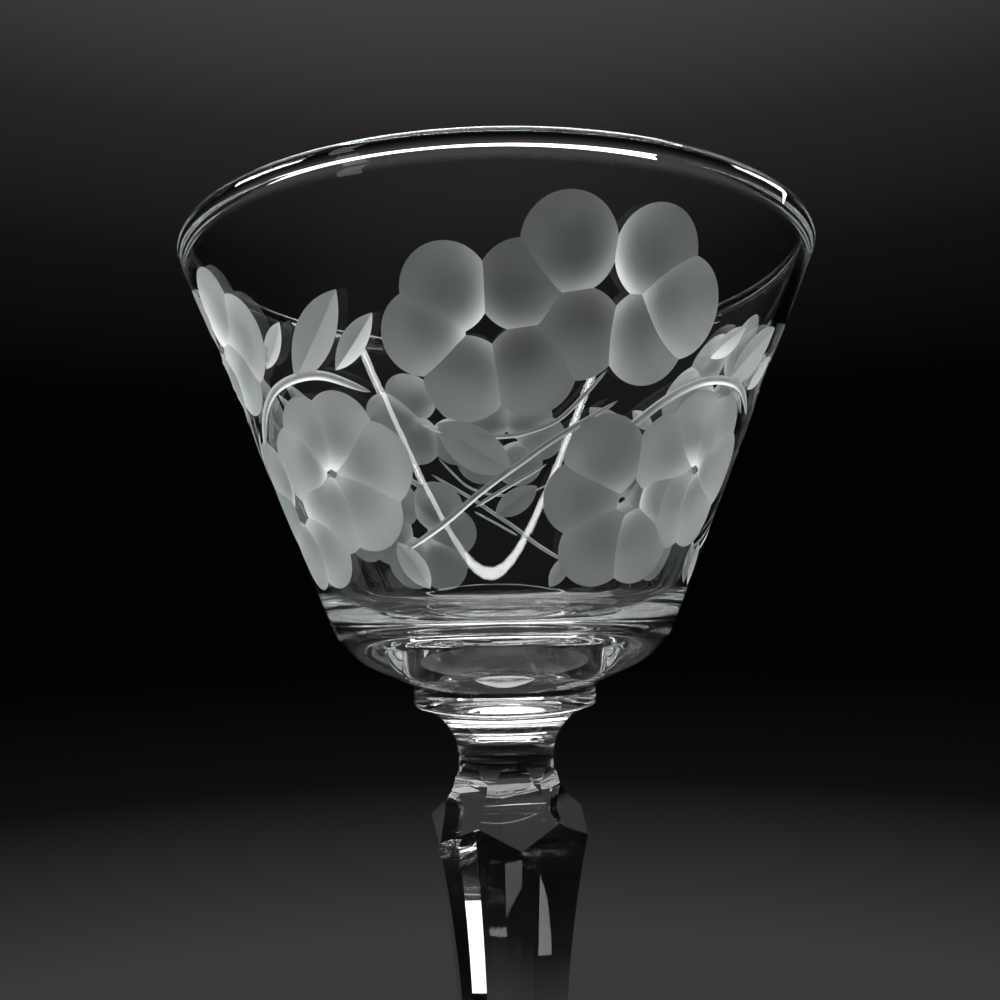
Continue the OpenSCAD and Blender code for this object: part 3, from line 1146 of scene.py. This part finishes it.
def fused_seam(finish):
    """A seam where two pieces are fused: no surface is left, so light goes straight through."""
    material, nodes, _ = new_material("fused_seam")
    if nodes is None:
        return material
    shader = nodes["Principled BSDF"]
    shader.inputs["Base Color"].default_value = (*finish.clear_tint, 1)
    shader.inputs["Alpha"].default_value = 0.0
    return material


# Stage

def make_camera(scene):
    """The camera: below the rim and above the knop, tilted up a little."""
    stage = scene.glass_stage
    data = bpy.data.cameras.new("view")
    data.lens = stage.lens
    data.sensor_width = stage.sensor_w
    data.clip_start = 5 * MM
    camera = bpy.data.objects.new("view", data)
    scene.collection.objects.link(camera)
    place = Matrix.Translation((stage.sideways, -stage.distance, stage.height))
    aim = Matrix.Rotation(-stage.yaw, 4, "Z") @ Matrix.Rotation(math.pi / 2 + stage.pitch, 4, "X")
    camera.matrix_world = (Matrix.Rotation(stage.view_turn, 4, "Z") @ place @ aim
                           @ Matrix.Rotation(stage.roll, 4, "Z"))
    scene.camera = camera


def make_floor(scene):
    """A plain pale round floor."""
    stage = scene.glass_stage
    sides = 128
    below = 0.03 * MM
    mesh = bpy.data.meshes.new("floor")
    around = np.linspace(0, 2 * math.pi, sides, endpoint=False)
    ring = [(stage.floor_r * math.cos(a), stage.floor_r * math.sin(a), -below) for a in around]
    mesh.from_pydata(ring, [], [list(range(sides))])
    material, nodes, _ = new_material("pale_floor")
    shader = nodes["Principled BSDF"]
    shader.inputs["Base Color"].default_value = (*stage.floor_colour, 1)
    shader.inputs["Roughness"].default_value = 0.65
    mesh.materials.append(material)
    floor = bpy.data.objects.new("floor", mesh)
    scene.collection.objects.link(floor)


# The ring of light above the glass, in metres, with the level of its face
RING_PLACE = (0.016, -0.115, 0.45)
RING_R = 0.228
RING_W = 0.012
RING_LEVEL = 26.0
RING_LAMPS = 30
# The place that the softboxes face
LIGHT_AIM = (0.0, 0.0, 0.115)
# Softboxes, in metres: name, place, width, height, level of the face, and whether it shows through glass
SOFTBOXES = (
    ("top_light", (0.0, 0.15, 0.5), 0.36, 0.32, 4.0, True),
    ("left_light", (-0.407, -0.057, 0.2), 0.20, 0.12, 20.5, False),
    ("right_light", (0.407, -0.057, 0.2), 0.20, 0.12, 19.0, False),
    ("front_light", (-0.33, -0.235, 0.195), 0.06, 0.30, 1.6, True),
)
# The background, from straight down at 0 to straight up at 1, with its level
BACKGROUND_STOPS = (
    (0.0, 5.0), (0.32, 7.0), (0.39, 0.8), (0.45, 0.1), (0.59, 0.1),
    (0.66, 1.0), (0.72, 3.2), (0.78, 9.0), (1.0, 9.0),
)


def add_softbox(scene, name, place, target, width, height, level, along=None):
    """A plain white softbox that faces the target. The level is the brightness of its face."""
    data = bpy.data.lights.new(name, "AREA")
    data.shape = "RECTANGLE"
    data.size = width
    data.size_y = height
    data.energy = level * math.pi * width * height
    lamp = bpy.data.objects.new(name, data)
    scene.collection.objects.link(lamp)
    back = (Vector(place) - Vector(target)).normalized()
    side = Vector(along or (-back.y, back.x, 0)).normalized()
    turn = Matrix((side, back.cross(side), back)).transposed()
    lamp.matrix_world = Matrix.Translation(place) @ turn.to_4x4()
    lamp.visible_camera = False
    return lamp


def add_ring_light(scene):
    """A level ring of light above the glass, which gives thin round highlights."""
    size = 2 * RING_R * math.tan(math.pi / RING_LAMPS)
    for k in range(RING_LAMPS):
        turn = 2 * math.pi * k / RING_LAMPS
        out = Vector((math.sin(turn), -math.cos(turn), 0))
        place = Vector(RING_PLACE) + RING_R * out
        below = place - Vector((0, 0, 1))
        along = (-out.y, out.x, 0)
        add_softbox(scene, f"ring_light_{k}", place, below, size, RING_W, RING_LEVEL, along)


def make_light(scene):
    """A ring of light above, and softboxes behind and beside the glass."""
    add_ring_light(scene)
    for name, place, width, height, level, through in SOFTBOXES:
        lamp = add_softbox(scene, name, place, LIGHT_AIM, width, height, level)
        lamp.visible_transmission = through


def make_background(scene):
    """A plain dark background, which is paler low down and high up, and a faint light from all round."""
    stage = scene.glass_stage
    world = bpy.data.worlds.new("dark_studio")
    scene.world = world
    world.use_nodes = True
    nodes, links = world.node_tree.nodes, world.node_tree.links
    place = nodes.new("ShaderNodeTexCoord")
    split = nodes.new("ShaderNodeSeparateXYZ")
    grade = nodes.new("ShaderNodeValToRGB")
    span = nodes.new("ShaderNodeMapRange")
    span.inputs["From Min"].default_value = -1.0
    path = nodes.new("ShaderNodeLightPath")
    shown = nodes["Background"]
    shown.inputs["Strength"].default_value = stage.background
    while len(grade.color_ramp.elements) < len(BACKGROUND_STOPS):
        grade.color_ramp.elements.new(0.5)
    for element, (position, level) in zip(grade.color_ramp.elements, BACKGROUND_STOPS):
        element.position = position
        element.color = (level, level, level, 1)
    links.new(place.outputs["Generated"], split.inputs["Vector"])
    links.new(split.outputs["Z"], span.inputs["Value"])
    links.new(span.outputs["Result"], grade.inputs["Fac"])
    links.new(grade.outputs["Color"], shown.inputs["Color"])
    around = nodes.new("ShaderNodeBackground")
    around.inputs["Color"].default_value = (1, 1, 1, 1)
    around.inputs["Strength"].default_value = stage.fill
    mix = nodes.new("ShaderNodeMixShader")
    previous = path.outputs["Is Camera Ray"]
    for ray in ("Is Glossy Ray", "Is Transmission Ray"):
        either = nodes.new("ShaderNodeMath")
        either.operation = "MAXIMUM"
        links.new(previous, either.inputs[0])
        links.new(path.outputs[ray], either.inputs[1])
        previous = either.outputs["Value"]
    links.new(previous, mix.inputs["Fac"])
    links.new(around.outputs["Background"], mix.inputs[1])
    links.new(shown.outputs["Background"], mix.inputs[2])
    links.new(mix.outputs["Shader"], nodes["World Output"].inputs["Surface"])
    scene.view_settings.view_transform = "Standard"


def follow_light(scene):
    """Lets light be followed through the many reflections inside solid glass."""
    paths = scene.cycles
    paths.max_bounces = 32
    paths.glossy_bounces = 24
    paths.transmission_bounces = 32
    paths.transparent_max_bounces = 32


# Operators and panel

class GLASS_OT_add_stage(bpy.types.Operator):
    """Add the camera, the floor and the lights"""
    bl_idname = "glass.add_stage"
    bl_label = "Add Stage"

    def execute(self, context):
        make_camera(context.scene)
        make_floor(context.scene)
        make_light(context.scene)
        make_background(context.scene)
        follow_light(context.scene)
        return {"FINISHED"}


class GLASS_OT_add_bowl(bpy.types.Operator):
    """Add the bowl with its wheel-cut flowers"""
    bl_idname = "glass.add_bowl"
    bl_label = "Add Bowl"

    def execute(self, context):
        make_bowl(context.scene)
        return {"FINISHED"}


class GLASS_OT_add_collar(bpy.types.Operator):
    """Add the round collar under the bowl"""
    bl_idname = "glass.add_collar"
    bl_label = "Add Collar"

    def execute(self, context):
        make_collar(context.scene)
        return {"FINISHED"}


class GLASS_OT_add_stem(bpy.types.Operator):
    """Add the faceted stem with its knop"""
    bl_idname = "glass.add_stem"
    bl_label = "Add Stem"

    def execute(self, context):
        make_stem(context.scene)
        return {"FINISHED"}


class GLASS_OT_add_foot(bpy.types.Operator):
    """Add the round foot"""
    bl_idname = "glass.add_foot"
    bl_label = "Add Foot"

    def execute(self, context):
        make_foot(context.scene)
        return {"FINISHED"}


OPERATORS = (
    GLASS_OT_add_stage,
    GLASS_OT_add_bowl,
    GLASS_OT_add_collar,
    GLASS_OT_add_stem,
    GLASS_OT_add_foot,
)


class GLASS_PT_panel(bpy.types.Panel):
    """Lists the pieces of the glass and their sizes"""
    bl_label = "Cut Cocktail Glass"
    bl_idname = "GLASS_PT_panel"
    bl_space_type = "VIEW_3D"
    bl_region_type = "UI"
    bl_category = "Glass"

    def draw(self, context):
        for operator in OPERATORS:
            self.layout.operator(operator.bl_idname)
        for name, group in GROUPS.items():
            box = self.layout.box()
            box.label(text=group.__doc__)
            for key in group.__annotations__:
                box.prop(getattr(context.scene, name), key)


CLASSES = (*GROUPS.values(), *OPERATORS, GLASS_PT_panel)


def register():
    for cls in CLASSES:
        bpy.utils.register_class(cls)
    for name, group in GROUPS.items():
        setattr(bpy.types.Scene, name, PointerProperty(type=group))


def unregister():
    for name in GROUPS:
        delattr(bpy.types.Scene, name)
    for cls in reversed(CLASSES):
        bpy.utils.unregister_class(cls)


def main():
    register()
    bpy.ops.glass.add_stage()
    bpy.ops.glass.add_bowl()
    bpy.ops.glass.add_collar()
    bpy.ops.glass.add_stem()
    bpy.ops.glass.add_foot()


if __name__ == "__main__":
    main()
